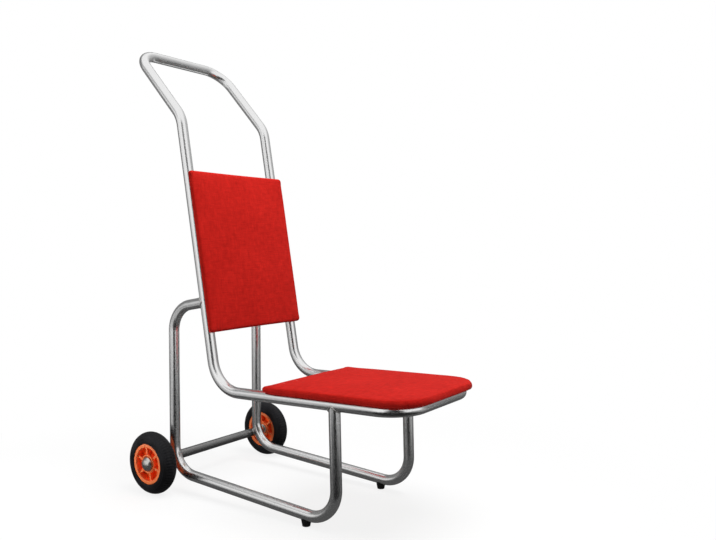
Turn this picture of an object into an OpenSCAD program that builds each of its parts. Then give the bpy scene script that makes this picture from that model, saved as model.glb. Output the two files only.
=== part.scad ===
// Two-wheeled trolley for moving a stack of banquet chairs.
// A closed hoop of bent tube is the handle, the uprights and the seat. Two bent side frames,
// a cross tube with an axle, two wheels and two rubber feet carry it, and it holds two thin pads.
// Millimetres. +X points to the front of the seat, +Y to the left, +Z up.
// The origin lies on the floor, at the middle of the footprint.

/* [Frame tube] */
// Outer diameter of the frame tube
tube_d = 25.4; // [22:0.1:28]
// Wall of the frame tube
tube_wall = 1.5; // [1:0.1:2.5]
// Distance between the centre lines of the two side planes
side_gauge = 292; // [280:1:310]

/* [Chair hoop] */
// Distance from the rear legs forward to the corner of seat rail and upright
seat_corner_reach = 147; // [130:1:170]
// Height of that corner above the floor
seat_corner_z = 261; // [240:1:290]
// Rise of the seat rails towards the front, in degrees
seat_rise = 1.6; // [0.5:0.1:4]
// Length of a seat rail, from that corner to the nose bar
seat_rail_l = 515; // [500:1:560]
// Distance from that corner to the butt joint in the seat rail
rail_joint_l = 193; // [150:1:200]
// Lean of the uprights towards the back, in degrees
recline = 10; // [7:0.5:13]
// Length of an upright, from the seat corner to the elbow
upright_l = 659; // [620:1:720]
// Angle between a handle arm and the vertical, in degrees
arm_angle = 43; // [35:1:50]
// Length of a handle arm, from the elbow to the handle bar
arm_l = 239; // [200:1:280]
// Bend radius between seat rail and upright
seat_bend_r = 80; // [60:1:100]
// Bend radius at the elbows
elbow_r = 70; // [50:1:100]
// Bend radius at the corners of the handle bar
handle_r = 60; // [45:1:80]
// Bend radius at the corners of the nose bar
nose_r = 70; // [40:1:90]
// Length of the spigot inside a rail joint
spigot_l = 80; // [50:1:120]
// Wall of the spigot
spigot_wall = 1.5; // [1:0.1:3]

/* [Side frames] */
// Height of the upper corner of a side frame
frame_top_z = 448; // [420:1:480]
// Height of the rear lower corner
rear_corner_z = 46; // [43:1:55]
// Length of the floor rail between its corners
floor_rail_l = 499; // [480:1:520]
// Drop of the floor rail towards the front, in degrees
floor_drop = 3; // [2:0.1:3.3]
// Lean of the front leg, top towards the back, in degrees
front_lean = 1.5; // [0:0.1:4]
// Bend radius of the side frames
frame_bend_r = 68; // [55:1:80]

/* [Axle] */
// Outer diameter of the cross tube
cross_d = 22.2; // [20:0.1:28]
// Wall of the cross tube
cross_wall = 1.5; // [1:0.1:2]
// How far the cross tube stands out past the side frames
cross_overhang = 6; // [2:0.5:10]
// Diameter of the axle rod
axle_d = 12; // [10:0.5:14]
// Thickness of the plug's flange at the end of the cross tube
plug_flange_t = 3; // [2:0.5:5]
// Length of the plug inside the cross tube
plug_l = 20; // [12:1:40]
// Outer diameter of the spacer sleeve
spacer_d = 18; // [16:0.5:21]
// Outer diameter of the washer under the cap
washer_d = 24; // [18:0.5:28]
// Thickness of that washer
washer_t = 1.5; // [1:0.1:3]
// Diameter of the domed axle cap
cap_d = 34; // [28:0.5:40]
// Height of the cap
cap_h = 12; // [10:0.5:14]
// Height of the straight skirt below the dome
cap_skirt_h = 3; // [2:0.5:4]
// Length of axle rod that the cap grips
cap_grip_l = 7; // [4:0.5:8]

/* [Wheels] */
// Outer diameter of the tyre
wheel_d = 150; // [140:1:160]
// Width of the tyre, and diameter of its round section
tyre_w = 40; // [36:1:46]
// Gap between a side frame and the tyre
wheel_gap = 22.8; // [18:0.1:30]
// Diameter of the rim's lip
lip_d = 97.6; // [94:0.2:104]
// Thickness of the rim's lip
lip_t = 2.5; // [1.5:0.1:4]
// Diameter of the rim where the tyre sits
rim_seat_d = 92; // [88:0.5:93]
// Inner diameter of the rim
rim_inner_d = 80; // [74:0.5:84]
// Width of the rim
rim_w = 35.6; // [32:0.2:37]
// Radius of the rounded edges of rim and boss
bead_r = 1.6; // [1:0.1:2.4]
// Wall of the hub's boss round its recess
boss_wall = 4.3; // [3.5:0.1:7]
// Width of the boss
boss_w = 33; // [30:0.5:36]
// Gap between the axle cap and the recess in the boss
cap_gap = 1.2; // [0.5:0.1:3]
// Depth of the recess in the boss
recess_h = 4.5; // [3:0.1:6]
// Thickness of the web between boss and rim
web_t = 5; // [3:0.1:8]
// Number of ribs on the web
rib_count = 6; // [4:1:8]
// Thickness of a rib
rib_t = 5; // [3:0.1:7]
// Width of a rib along the axle
rib_w = 27; // [20:0.5:31]
// Turn of the first rib, in degrees
rib_phase = 41; // [0:1:60]
// Outer diameter of a wheel bush
bush_d = 18; // [16:0.5:22]
// Diameter of the bush's flange
bush_flange_d = 26; // [22:0.5:27]
// Thickness of the bush's flange
bush_flange_t = 2; // [1:0.1:3]
// Length of the bush inside the hub
bush_l = 11; // [8:0.5:11.5]

/* [Feet] */
// Distance from the front lower corner back to a foot
foot_setback = 82.4; // [80:0.1:120]
// Diameter of a foot at the top
foot_top_d = 23; // [19:0.5:25]
// Diameter of a foot at the floor
foot_bottom_d = 17.5; // [14:0.5:20]
// Height that the foot's saddle climbs round the rail
foot_saddle_h = 3; // [1:0.5:5]
// Diameter of the foot screw
foot_screw_d = 4; // [3:0.5:5]
// Diameter of its head
foot_head_d = 8; // [7:0.5:10]
// Height of its head
foot_head_h = 2.5; // [2:0.1:3]
// Depth of the head below the foot's sole
foot_recess_h = 3; // [2:0.1:4]
// Length of screw inside the rail
foot_screw_tip_l = 6; // [3:0.5:8]

/* [Pads] */
// Length of a pad, along the rail or the upright
pad_l = 388; // [340:1:400]
// Width of a pad
pad_w = 326; // [318:1:350]
// Thickness of a pad at its rolled edge
pad_edge_h = 13; // [12:0.5:20]
// Rise of the pad's crown above that
crown_h = 4; // [2:0.5:8]
// Radius of the rolled upper edge
roll_r = 8; // [3:0.5:8]
// Radius of the lower edge
hem_r = 4; // [1:0.5:4]
// How far the sides draw in between the corners
draw_in = 2; // [0:0.5:5]
// Corner radius of the pads
pad_corner_r = 9; // [6:1:25]
// Corner radius at the front of the seat pad
seat_front_r = 84; // [30:1:100]
// Distance from the seat corner to the seat pad
seat_pad_start = 153; // [120:1:160]
// Distance from the seat corner to the back pad
back_pad_start = 135; // [110:1:180]
// Thickness of the cover fabric
fabric_t = 1; // [0.6:0.1:1.5]
// Thickness of the board in a pad
board_t = 6; // [5:0.5:8]
// Distance from the pad's edge to the board's edge
board_inset = 9; // [6:0.5:14]

/* [Pad fixings] */
// Distance from the rear or lower end of a pad to its first tabs
tab_inset = 95; // [60:1:120]
// Distance from the first tabs of the back pad to the second
tab_pitch = 170; // [120:1:200]
// Place of the second tabs of the seat pad, as a share of the straight rail in front of the pad's rear end
seat_tab_share = 0.85; // [0.7:0.01:0.9]
// Width of a tab along the tube
tab_w = 30; // [20:1:40]
// Thickness of a tab
tab_t = 4; // [3:0.5:6]
// Corner radius at the inner end of a tab
tab_corner_r = 8; // [4:0.5:10]
// Reach of a tab from the tube's shoulder inwards
tab_reach = 36; // [28:1:50]
// Distance from the tab's inner end to its hole
tab_hole_inset = 14; // [10:0.5:18]
// Distance from the tube's centre line to the tab's outer end
tab_shoulder = 5.5; // [4:0.5:8]
// Diameter of a pad screw
screw_d = 6; // [5:0.5:8]
// Diameter of its head
screw_head_d = 12; // [10:0.5:14]
// Height of its head
screw_head_h = 3.3; // [2.5:0.1:5]
// Width across the flats of its socket
socket_af = 4; // [3:0.5:5]
// Depth of its socket
socket_h = 2; // [1:0.1:2.3]
// Outer diameter of a tee nut's barrel
barrel_d = 8; // [7.4:0.1:10]
// Diameter of a tee nut's flange
tee_flange_d = 18; // [14:0.5:22]
// Thickness of a tee nut's flange
tee_flange_t = 1.2; // [0.8:0.1:2]

/* [Hidden] */
$fn = 96;

// Root gap of the welded joints
weld_gap = 0.2;
// Radial gap of a push fit
fit_gap = 0.05;
// Gap between a soft piece and its neighbour
soft_gap = 0.3;
// Gap beside a turning face
running_gap = 0.3;
// Radial gap of a screw in its hole
hole_gap = 0.3;
// Overrun of every cut
over = 1;
// A straight laps the start of a bend by this much
lap = 0.5;
// The wall of a bend is drawn this much thinner on each side
thinning = 0.03;
// Points on a pad's corner and along its side
corner_steps = 5;
side_steps = 6;
// Rings of a pad's crown, as shares of its outline, and places on a quarter-round edge
crown_shares = [0.28, 0.52, 0.76];
roll_angles = [90, 60, 30, 0];

steel = [0.76, 0.76, 0.75];
bright = [0.86, 0.86, 0.86];
rubber = [0.13, 0.12, 0.12];
orange = [0.91, 0.35, 0.14];
nylon = [0.85, 0.84, 0.8];
fabric_red = [0.75, 0.12, 0.1];
foam_cream = [0.93, 0.88, 0.72];
plywood = [0.76, 0.6, 0.4];

tube_r = tube_d / 2;
half_gauge = side_gauge / 2;
wheel_r = wheel_d / 2;

// Directions in the side view, as [x, z]
rail_dir = [cos(seat_rise), sin(seat_rise)];
rail_normal = [-sin(seat_rise), cos(seat_rise)];
upright_dir = [-sin(recline), cos(recline)];
upright_normal = [cos(recline), sin(recline)];
arm_dir = [-sin(arm_angle), cos(arm_angle)];
floor_dir = [cos(floor_drop), -sin(floor_drop)];
front_leg_dir = [-sin(front_lean), cos(front_lean)];

// The underside of both pads lies this far from the centre lines of the tubes that carry them
pad_base = tube_r + soft_gap;

// The rear legs stand so far from the origin that the footprint is centred on it
handle_back = upright_l * sin(recline) + arm_l * sin(arm_angle) - seat_corner_reach + tube_r;
pad_front = seat_corner_reach + (seat_pad_start + pad_l) * cos(seat_rise)
    - (pad_base + hem_r) * sin(seat_rise);
rear_x = (handle_back - pad_front) / 2;

// Corners of the hoop in the side view
seat_corner = [rear_x + seat_corner_reach, seat_corner_z];
nose = seat_corner + seat_rail_l * rail_dir;
elbow = seat_corner + upright_l * upright_dir;
handle = elbow + arm_l * arm_dir;
rail_joint = seat_corner + rail_joint_l * rail_dir;

// Corners of a side frame in the side view, and the points on the hoop that its ends are welded to
frame_top = [rear_x, frame_top_z];
rear_corner = [rear_x, rear_corner_z];
front_corner = rear_corner + floor_rail_l * floor_dir;
top_weld = frame_top + ((seat_corner - frame_top) * upright_normal) * upright_normal;
front_weld = front_corner
    + ((seat_corner - front_corner) * rail_normal) / (front_leg_dir * rail_normal) * front_leg_dir;

// The cross tube lies behind the rear lower bends and touches both
rear_bend_z = rear_corner_z + frame_bend_r / cos(floor_drop) - frame_bend_r * tan(floor_drop);
cross_reach = frame_bend_r + tube_r + cross_d / 2 + weld_gap;
axle_x = rear_x + frame_bend_r - sqrt(cross_reach ^ 2 - (rear_bend_z - wheel_r) ^ 2);

// Places along the axle, measured from the middle of the trolley
cross_end_y = half_gauge + tube_r + cross_overhang;
plug_end_y = cross_end_y + plug_flange_t;
wheel_y = half_gauge + tube_r + wheel_gap + tyre_w / 2;
bush_seat = boss_w / 2 - recess_h;
bush_face = bush_seat + bush_flange_t;
spacer_end_y = wheel_y - bush_face - running_gap;
washer_y = wheel_y + bush_face + running_gap;
cap_y = washer_y + washer_t;
axle_end_y = cap_y + cap_grip_l;

// The recess in the boss takes the bush's flange, and the cap turns free in it
recess_d = cap_d + 2 * cap_gap;
boss_d = recess_d + 2 * boss_wall;

// A rib runs from the middle of the boss's wall to the middle of the rim's
rib_start = (recess_d + boss_d) / 4;
rib_end = (rim_inner_d + rim_seat_d) / 4;

// The dome of a cap is part of a sphere
dome_h = cap_h - cap_skirt_h;
dome_r = ((cap_d / 2) ^ 2 + dome_h ^ 2) / (2 * dome_h);

// The feet
foot_place = front_corner - foot_setback * floor_dir;
foot_x = foot_place[0];
foot_rail_z = foot_place[1];
foot_rail_r = tube_r / cos(floor_drop);
foot_h = foot_rail_z - foot_rail_r + foot_saddle_h;
foot_screw_end_z = foot_rail_z - foot_rail_r + tube_wall + foot_screw_tip_l;

// Heights in a pad, above its underside
board_top = fabric_t + board_t;
// The cover turns under the board by this much
hem_w = pad_w / 2 - draw_in - half_gauge + tab_shoulder - soft_gap;

// The fixings of a pad, in its own frame
tab_y = half_gauge - tab_shoulder;
tab_top = pad_base + fabric_t;
hole_y = tab_y - tab_reach + tab_hole_inset;
back_places = [tab_inset, tab_inset + tab_pitch];
seat_run = min(pad_l, seat_rail_l - nose_r - seat_pad_start);
seat_places = [tab_inset, seat_tab_share * seat_run];

function unit(v) = v / norm(v);
function at_side(p, side) = [p[0], side * half_gauge, p[1]];
function turn_angle(a, b, c) = acos(unit(b - a) * unit(c - b));
function setback(a, b, c, r) = r * tan(turn_angle(a, b, c) / 2);

// Tube section
module ring(od, wall) {
    difference() {
        circle(d = od);
        circle(d = od - 2 * wall);
    }
}

// Everything in the children, drawn along the line from p to q
module along(p, q) {
    d = q - p;
    translate(p)
        rotate([0, atan2(norm([d[0], d[1]]), d[2]), atan2(d[1], d[0])])
            children();
}

module straight_tube(p, q, od, wall) {
    along(p, q)
        linear_extrude(norm(q - p))
            ring(od, wall);
}

module bar(p, q, d) {
    along(p, q)
        cylinder(d = d, h = norm(q - p));
}

// The bend at corner b of the way from a to c
module tube_bend(a, b, c, r, od, wall) {
    into = unit(b - a);
    axis = unit(cross(into, c - b));
    inward = cross(axis, into);
    centre = b - into * setback(a, b, c, r) + inward * r;
    multmatrix([
        [-inward[0], into[0], axis[0], centre[0]],
        [-inward[1], into[1], axis[1], centre[1]],
        [-inward[2], into[2], axis[2], centre[2]],
        [0, 0, 0, 1]
    ])
        rotate_extrude(angle = turn_angle(a, b, c))
            translate([r, 0])
                ring(od, wall);
}

// One tube through a list of corner points, with a bend radius for each corner between the ends
module bent_tube(points, bends, od, wall) {
    last = len(points) - 1;
    lead = [for (i = [0:last]) i == 0 || i == last ? 0
        : setback(points[i - 1], points[i], points[i + 1], bends[i - 1]) - lap];
    for (i = [0:last - 1]) {
        way = unit(points[i + 1] - points[i]);
        straight_tube(points[i] + lead[i] * way, points[i + 1] - lead[i + 1] * way, od, wall);
    }
    for (i = [1:last - 1])
        tube_bend(points[i - 1], points[i], points[i + 1], bends[i - 1],
            od - 2 * thinning, wall - 2 * thinning);
}

module both_sides() {
    for (side = [0, 1])
        mirror([0, side, 0])
            children();
}

// Frames of the seat and the back: x runs along the tube from the seat corner, z away from the tube
module on_seat() {
    translate([seat_corner[0], 0, seat_corner[1]])
        rotate([0, -seat_rise, 0])
            children();
}

module on_back() {
    translate([seat_corner[0], 0, seat_corner[1]])
        rotate([0, -90 - recline, 0])
            rotate([180, 0, 0])
                children();
}

// The frame of a wheel: z runs along the axle
module at_wheel(side) {
    translate([axle_x, side * wheel_y, wheel_r])
        rotate([90, 0, 0])
            children();
}

// The frame of the left end of the axle: z runs outwards along it, from the distance y
module on_axle(y) {
    translate([axle_x, y, wheel_r])
        rotate([-90, 0, 0])
            children();
}

module sleeve(d, bore_d, h) {
    difference() {
        cylinder(d = d, h = h);
        translate([0, 0, -over])
            cylinder(d = bore_d, h = h + 2 * over);
    }
}

// Chair hoop
module back_hoop() {
    right = [for (p = [rail_joint, seat_corner, elbow, handle]) at_side(p, -1)];
    left = [for (p = [handle, elbow, seat_corner, rail_joint]) at_side(p, 1)];
    color(steel)
        bent_tube(concat(right, left),
            [seat_bend_r, elbow_r, handle_r, handle_r, elbow_r, seat_bend_r], tube_d, tube_wall);
}

module seat_hoop() {
    start = rail_joint + weld_gap * rail_dir;
    color(steel)
        bent_tube([at_side(start, -1), at_side(nose, -1), at_side(nose, 1), at_side(start, 1)],
            [nose_r, nose_r], tube_d, tube_wall);
}

module hoop_spigots() {
    half = spigot_l / 2 * rail_dir;
    color(steel)
        for (side = [-1, 1])
            straight_tube(at_side(rail_joint - half, side), at_side(rail_joint + half, side),
                tube_d - 2 * (tube_wall + fit_gap), spigot_wall);
}

// Side frames, coped to the hoop at both ends and drilled for the foot
module side_frame(side) {
    path = [for (p = [top_weld, frame_top, rear_corner, front_corner, front_weld]) at_side(p, side)];
    cope_d = tube_d + 2 * weld_gap;
    color(steel)
        difference() {
            bent_tube(path, [frame_bend_r, frame_bend_r, frame_bend_r], tube_d, tube_wall);
            bar(at_side(seat_corner, side), at_side(elbow, side), cope_d);
            bar(at_side(seat_corner, side), at_side(nose, side), cope_d);
            translate([foot_x, side * half_gauge, 0])
                cylinder(d = foot_screw_d + 2 * hole_gap, h = foot_rail_z);
        }
}

module side_frame_left() {
    side_frame(1);
}

module side_frame_right() {
    side_frame(-1);
}

// Axle
module cross_tube() {
    color(steel)
        on_axle(-cross_end_y)
            linear_extrude(2 * cross_end_y)
                ring(cross_d, cross_wall);
}

module axle_rod() {
    color(steel)
        on_axle(-axle_end_y)
            cylinder(d = axle_d, h = 2 * axle_end_y);
}

module axle_plugs() {
    color(nylon)
        both_sides()
            on_axle(cross_end_y)
                difference() {
                    union() {
                        cylinder(d = cross_d, h = plug_flange_t);
                        translate([0, 0, -plug_l])
                            cylinder(d = cross_d - 2 * (cross_wall + fit_gap), h = plug_l);
                    }
                    translate([0, 0, -plug_l - over])
                        cylinder(d = axle_d + 2 * fit_gap, h = plug_l + plug_flange_t + 2 * over);
                }
}

module wheel_spacers() {
    color(steel)
        both_sides()
            on_axle(plug_end_y)
                sleeve(spacer_d, axle_d + 2 * fit_gap, spacer_end_y - plug_end_y);
}

module axle_washers() {
    color(bright)
        both_sides()
            on_axle(washer_y)
                sleeve(washer_d, axle_d + 2 * fit_gap, washer_t);
}

module axle_caps() {
    color(bright)
        both_sides()
            on_axle(cap_y)
                difference() {
                    intersection() {
                        cylinder(d = cap_d, h = cap_h);
                        translate([0, 0, cap_h - dome_r])
                            sphere(r = dome_r);
                    }
                    translate([0, 0, -over])
                        cylinder(d = axle_d + 2 * fit_gap, h = cap_grip_l + over + fit_gap);
                }
}

// Wheels
// One side of a ring from radius r0 to r1, from the mid plane up to h, with its upper edges rounded
module round_topped(r0, r1, h) {
    translate([r0, 0])
        square([r1 - r0, h - bead_r]);
    translate([r0 + bead_r, 0])
        square([r1 - r0 - 2 * bead_r, h]);
    for (r = [r0 + bead_r, r1 - bead_r])
        translate([r, h - bead_r])
            circle(r = bead_r);
}

// Rim with its lips, web and boss, as one section
module hub_section() {
    for (face = [0, 1])
        mirror([0, face]) {
            difference() {
                round_topped(rim_inner_d / 2, lip_d / 2, rim_w / 2);
                translate([rim_seat_d / 2, 0])
                    square([lip_d / 2, rim_w / 2 - lip_t]);
            }
            round_topped(recess_d / 2, boss_d / 2, boss_w / 2);
        }
    translate([bush_d / 2 + fit_gap, -bush_seat])
        square([(boss_d - bead_r) / 2 - bush_d / 2 - fit_gap, 2 * bush_seat]);
    translate([recess_d / 2, -web_t / 2])
        square([rib_end - recess_d / 2, web_t]);
}

module tyre(side) {
    color(rubber)
        at_wheel(side)
            rotate_extrude()
                difference() {
                    translate([wheel_r - tyre_w / 2, 0])
                        circle(d = tyre_w);
                    translate([0, -tyre_w / 2])
                        square([rim_seat_d / 2 + fit_gap, tyre_w]);
                    for (face = [0, 1])
                        mirror([0, face])
                            translate([0, rim_w / 2 - lip_t - fit_gap])
                                square([lip_d / 2 + fit_gap, tyre_w]);
                }
}

module tyre_left() {
    tyre(1);
}

module tyre_right() {
    tyre(-1);
}

module hub(side) {
    color(orange)
        at_wheel(side) {
            rotate_extrude()
                hub_section();
            for (i = [0:rib_count - 1])
                rotate([0, 0, rib_phase + i * 360 / rib_count])
                    translate([rib_start, -rib_t / 2, -rib_w / 2])
                        cube([rib_end - rib_start, rib_t, rib_w]);
        }
}

module hub_left() {
    hub(1);
}

module hub_right() {
    hub(-1);
}

module wheel_bushes(side) {
    color(nylon)
        at_wheel(side)
            for (face = [0, 1])
                mirror([0, 0, face])
                    difference() {
                        union() {
                            translate([0, 0, bush_seat - bush_l])
                                cylinder(d = bush_d, h = bush_l);
                            translate([0, 0, bush_seat])
                                cylinder(d = bush_flange_d, h = bush_flange_t);
                        }
                        translate([0, 0, bush_seat - bush_l - over])
                            cylinder(d = axle_d + 2 * fit_gap, h = bush_l + bush_flange_t + 2 * over);
                    }
}

module bushes_left() {
    wheel_bushes(1);
}

module bushes_right() {
    wheel_bushes(-1);
}

// Feet
module foot(side) {
    color(rubber)
        difference() {
            translate([foot_x, side * half_gauge, 0])
                cylinder(d1 = foot_bottom_d, d2 = foot_top_d, h = foot_h);
            bar(at_side(rear_corner, side), at_side(front_corner, side), tube_d + 2 * fit_gap);
            translate([foot_x, side * half_gauge, -over])
                cylinder(d = foot_head_d + 2 * hole_gap, h = foot_recess_h + foot_head_h + over);
            translate([foot_x, side * half_gauge, -over])
                cylinder(d = foot_screw_d + 2 * hole_gap, h = foot_rail_z);
        }
}

module foot_left() {
    foot(1);
}

module foot_right() {
    foot(-1);
}

module foot_screws() {
    color(bright)
        for (side = [-1, 1])
            translate([foot_x, side * half_gauge, foot_recess_h]) {
                cylinder(d = foot_head_d, h = foot_head_h);
                cylinder(d = foot_screw_d, h = foot_screw_end_z - foot_recess_h);
            }
}

// Pads: the outline as a ring of points, with corner radius r0 at the start and r1 at the end
function arc_points(x, y, r, a) = [for (k = [0:corner_steps])
    [x + r * cos(a + 90 * k / corner_steps), y + r * sin(a + 90 * k / corner_steps)]];
function side_points(p, q, inward) = [for (k = [1:side_steps - 1])
    p + (q - p) * k / side_steps + inward * draw_in * sin(180 * k / side_steps)];
function pad_outline(r0, r1) = let (y = pad_w / 2) concat(
    arc_points(pad_l - r1, r1 - y, r1, -90),
    side_points([pad_l, r1 - y], [pad_l, y - r1], [-1, 0]),
    arc_points(pad_l - r1, y - r1, r1, 0),
    side_points([pad_l - r1, y], [r0, y], [0, -1]),
    arc_points(r0, y - r0, r0, 90),
    side_points([0, y - r0], [0, r0 - y], [1, 0]),
    arc_points(r0, r0 - y, r0, 180),
    side_points([r0, -y], [pad_l - r1, -y], [0, 1]));

// One ring at height z: the outline drawn in by inset, then shrunk to a share of itself
function pad_ring(outline, inset, share, z) = [for (p = outline)
    [pad_l / 2 + (p[0] - pad_l / 2) * share * (1 - 2 * inset / pad_l), p[1] * share * (1 - 2 * inset / pad_w), z]];

// The rings of a skin that lies depth inside the pad's outer form, from the crown down to its side
function crown_rings(outline, depth) = let (r = roll_r - depth) concat(
    [for (s = crown_shares) pad_ring(outline, roll_r, s, pad_edge_h + crown_h * (1 - s ^ 2) - depth)],
    [for (a = roll_angles) pad_ring(outline, roll_r - r * cos(a), 1, pad_edge_h - roll_r + r * sin(a))]);
function crown_top(depth) = [pad_l / 2, 0, pad_edge_h + crown_h - depth];

// A closed solid through a list of rings, with a point at each end
module ringed_solid(first, rings, last) {
    n = len(rings[0]);
    m = len(rings);
    points = concat([first], [for (r = rings, p = r) p], [last]);
    start_fan = [for (k = [0:n - 1]) [0, 1 + (k + 1) % n, 1 + k]];
    walls = [for (i = [0:m - 2], k = [0:n - 1], half = [0, 1])
        let (a = 1 + i * n, b = a + n, j = (k + 1) % n)
            half == 0 ? [a + k, a + j, b + j] : [a + k, b + j, b + k]];
    end_fan = [for (k = [0:n - 1]) let (a = 1 + (m - 1) * n) [a + k, a + (k + 1) % n, m * n + 1]];
    polyhedron(points, concat(start_fan, walls, end_fan));
}

// The cover goes over the crown, down the sides and a little way under the board
module pad_cover(outline) {
    inner_hem_r = hem_r - fabric_t;
    hem_rings = [
        pad_ring(outline, 0, 1, hem_r),
        pad_ring(outline, hem_r, 1, 0),
        pad_ring(outline, hem_w, 1, 0),
        pad_ring(outline, hem_w, 1, fabric_t),
        pad_ring(outline, fabric_t + inner_hem_r, 1, fabric_t),
        pad_ring(outline, fabric_t, 1, fabric_t + inner_hem_r)
    ];
    inside = crown_rings(outline, fabric_t);
    ringed_solid(crown_top(0),
        concat(crown_rings(outline, 0), hem_rings, [for (i = [len(inside) - 1:-1:0]) inside[i]]),
        crown_top(fabric_t));
}

// The foam lies on the board and rolls over its edges
module pad_foam(outline) {
    depth = fabric_t + soft_gap;
    edge_rings = [
        pad_ring(outline, depth, 1, hem_r + soft_gap),
        pad_ring(outline, hem_r + soft_gap, 1, depth),
        pad_ring(outline, board_inset - soft_gap, 1, depth),
        pad_ring(outline, board_inset - soft_gap, 1, board_top)
    ];
    ringed_solid(crown_top(depth), concat(crown_rings(outline, depth), edge_rings),
        [pad_l / 2, 0, board_top]);
}

// A plate with its own corner radius at each end
module plate_outline(l, w, r0, r1) {
    translate([r0, -w / 2])
        square([l - r0 - r1, w]);
    for (x = [[0, r0], [l - r1, r1]])
        translate([x[0], x[1] - w / 2])
            square([x[1], w - 2 * x[1]]);
    for (y = [-1, 1]) {
        translate([r0, y * (w / 2 - r0)])
            circle(r = r0);
        translate([l - r1, y * (w / 2 - r1)])
            circle(r = r1);
    }
}

module at_fixings(places) {
    for (x = places, y = [-1, 1])
        translate([x, y * hole_y, 0])
            children();
}

module pad_board(r0, r1, places) {
    inset = board_inset + draw_in;
    difference() {
        translate([inset, 0, fabric_t])
            linear_extrude(board_t)
                plate_outline(pad_l - 2 * inset, pad_w - 2 * inset, r0, r1);
        at_fixings(places) {
            cylinder(d = barrel_d + 2 * fit_gap, h = board_top + over);
            translate([0, 0, board_top - tee_flange_t])
                cylinder(d = tee_flange_d + 2 * fit_gap, h = tee_flange_t + over);
        }
    }
}

module pad_tee_nuts(places) {
    at_fixings(places)
        difference() {
            union() {
                translate([0, 0, board_top - tee_flange_t])
                    cylinder(d = tee_flange_d, h = tee_flange_t);
                translate([0, 0, fabric_t])
                    cylinder(d = barrel_d, h = board_t);
            }
            cylinder(d = screw_d + 2 * fit_gap, h = board_top + over);
        }
}

module pad_screws(places) {
    at_fixings(places)
        difference() {
            union() {
                translate([0, 0, fabric_t - tab_t - screw_head_h])
                    cylinder(d = screw_head_d, h = screw_head_h);
                translate([0, 0, fabric_t - tab_t])
                    cylinder(d = screw_d, h = tab_t + board_t);
            }
            translate([0, 0, fabric_t - tab_t - screw_head_h - over])
                cylinder(d = socket_af / cos(30), h = socket_h + over, $fn = 6);
        }
}

module tab_outline() {
    translate([0, tab_corner_r])
        square([tab_w, tab_reach - tab_corner_r]);
    translate([tab_corner_r, 0])
        square([tab_w - 2 * tab_corner_r, tab_corner_r]);
    for (x = [tab_corner_r, tab_w - tab_corner_r])
        translate([x, tab_corner_r])
            circle(r = tab_corner_r);
}

// Tabs, cut to the round of the tube that they are welded to
module pad_tabs(start, places) {
    color(steel)
        for (x = places)
            both_sides()
                difference() {
                    translate([start + x - tab_w / 2, tab_y - tab_reach, tab_top - tab_t])
                        linear_extrude(tab_t)
                            tab_outline();
                    translate([start + x, hole_y, tab_top - tab_t - over])
                        cylinder(d = screw_d + 2 * hole_gap, h = tab_t + 2 * over);
                    translate([start + x - tab_w / 2 - over, half_gauge, 0])
                        rotate([0, 90, 0])
                            cylinder(d = tube_d + 2 * weld_gap, h = tab_w + 2 * over);
                }
}

module on_seat_pad() {
    on_seat()
        translate([seat_pad_start, 0, pad_base])
            children();
}

module on_back_pad() {
    on_back()
        translate([back_pad_start, 0, pad_base])
            children();
}

module seat_board() {
    color(plywood)
        on_seat_pad()
            pad_board(pad_corner_r, seat_front_r, seat_places);
}

module seat_foam() {
    color(foam_cream)
        on_seat_pad()
            pad_foam(pad_outline(pad_corner_r, seat_front_r));
}

module seat_cover() {
    color(fabric_red)
        on_seat_pad()
            pad_cover(pad_outline(pad_corner_r, seat_front_r));
}

module seat_tabs() {
    on_seat()
        pad_tabs(seat_pad_start, seat_places);
}

module seat_screws() {
    color(bright)
        on_seat_pad()
            pad_screws(seat_places);
}

module seat_tee_nuts() {
    color(bright)
        on_seat_pad()
            pad_tee_nuts(seat_places);
}

module back_board() {
    color(plywood)
        on_back_pad()
            pad_board(pad_corner_r, pad_corner_r, back_places);
}

module back_foam() {
    color(foam_cream)
        on_back_pad()
            pad_foam(pad_outline(pad_corner_r, pad_corner_r));
}

module back_cover() {
    color(fabric_red)
        on_back_pad()
            pad_cover(pad_outline(pad_corner_r, pad_corner_r));
}

module back_tabs() {
    on_back()
        pad_tabs(back_pad_start, back_places);
}

module back_screws() {
    color(bright)
        on_back_pad()
            pad_screws(back_places);
}

module back_tee_nuts() {
    color(bright)
        on_back_pad()
            pad_tee_nuts(back_places);
}

back_hoop();
seat_hoop();
hoop_spigots();
side_frame_left();
side_frame_right();
cross_tube();
axle_rod();
axle_plugs();
wheel_spacers();
axle_washers();
axle_caps();
tyre_left();
tyre_right();
hub_left();
hub_right();
bushes_left();
bushes_right();
foot_left();
foot_right();
foot_screws();
seat_board();
seat_foam();
seat_cover();
seat_tabs();
seat_screws();
seat_tee_nuts();
back_board();
back_foam();
back_cover();
back_tabs();
back_screws();
back_tee_nuts();
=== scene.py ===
# %% [markdown]
# # A trolley for stacked chairs
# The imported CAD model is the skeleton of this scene. Every piece of it already stands where
# it belongs, in metres and with Z up, so nothing gets moved here. Blender adds the look:
# drawn steel tube, padded fabric, weld beads, staples, and a finish for every piece.

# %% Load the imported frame
import math

import bmesh
import bpy
from mathutils import Matrix, Vector


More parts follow.
